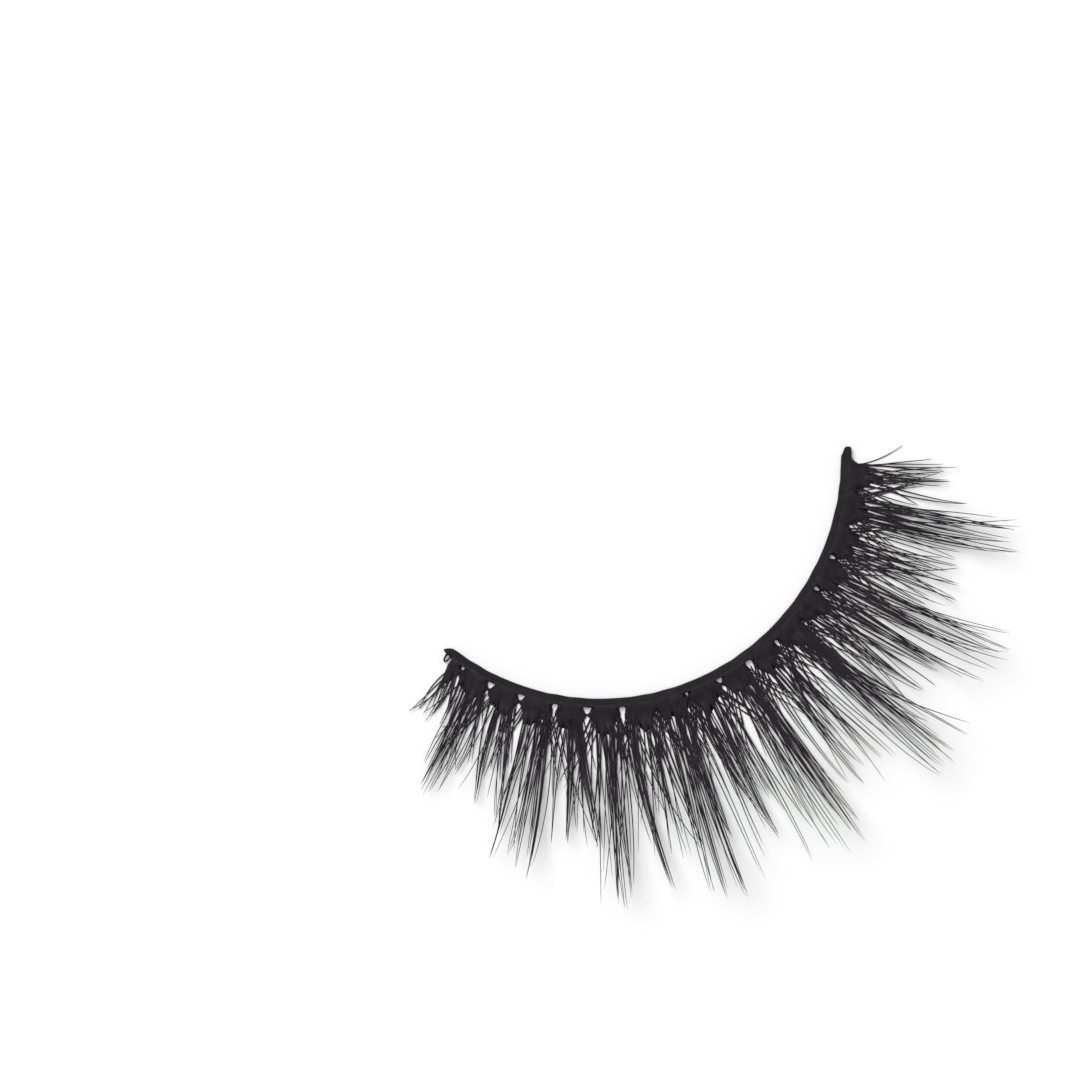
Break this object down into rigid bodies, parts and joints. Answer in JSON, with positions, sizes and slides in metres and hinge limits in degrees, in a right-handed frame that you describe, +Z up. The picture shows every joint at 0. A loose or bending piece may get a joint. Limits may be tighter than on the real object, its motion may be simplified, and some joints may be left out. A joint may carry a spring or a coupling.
{
  "type": "false eyelash strip",
  "caption": "Curved cotton band with clusters of upward-curling lash fibre, worn glued along the upper eyelid.",
  "frame": {"origin": "middle of the band's flat underside, at the middle of its length", "axes": "+X along the band's chord towards the outer corner of the eye, -Y the way the middle lashes point, +Z up from the surface the strip lies on, the way the lashes curl"},
  "size_m": [0.0388, 0.022, 0.0059],
  "materials": {
    "band_cotton": "black cotton thread, stiffened with clear lash glue, satin",
    "lash_fibre": "black tapered lash fibre, soft satin sheen"
  },
  "bodies": {
    "root": {"band": "band_cotton", "lash_cluster_01": "lash_fibre", "lash_cluster_02": "lash_fibre", "lash_cluster_03": "lash_fibre", "lash_cluster_04": "lash_fibre", "lash_cluster_05": "lash_fibre", "lash_cluster_06": "lash_fibre", "lash_cluster_07": "lash_fibre", "lash_cluster_08": "lash_fibre", "lash_cluster_09": "lash_fibre", "lash_cluster_10": "lash_fibre", "lash_cluster_11": "lash_fibre", "lash_cluster_12": "lash_fibre", "lash_cluster_13": "lash_fibre", "lash_cluster_14": "lash_fibre", "lash_cluster_15": "lash_fibre", "lash_cluster_16": "lash_fibre", "lash_cluster_17": "lash_fibre"}
  },
  "joints": []
}
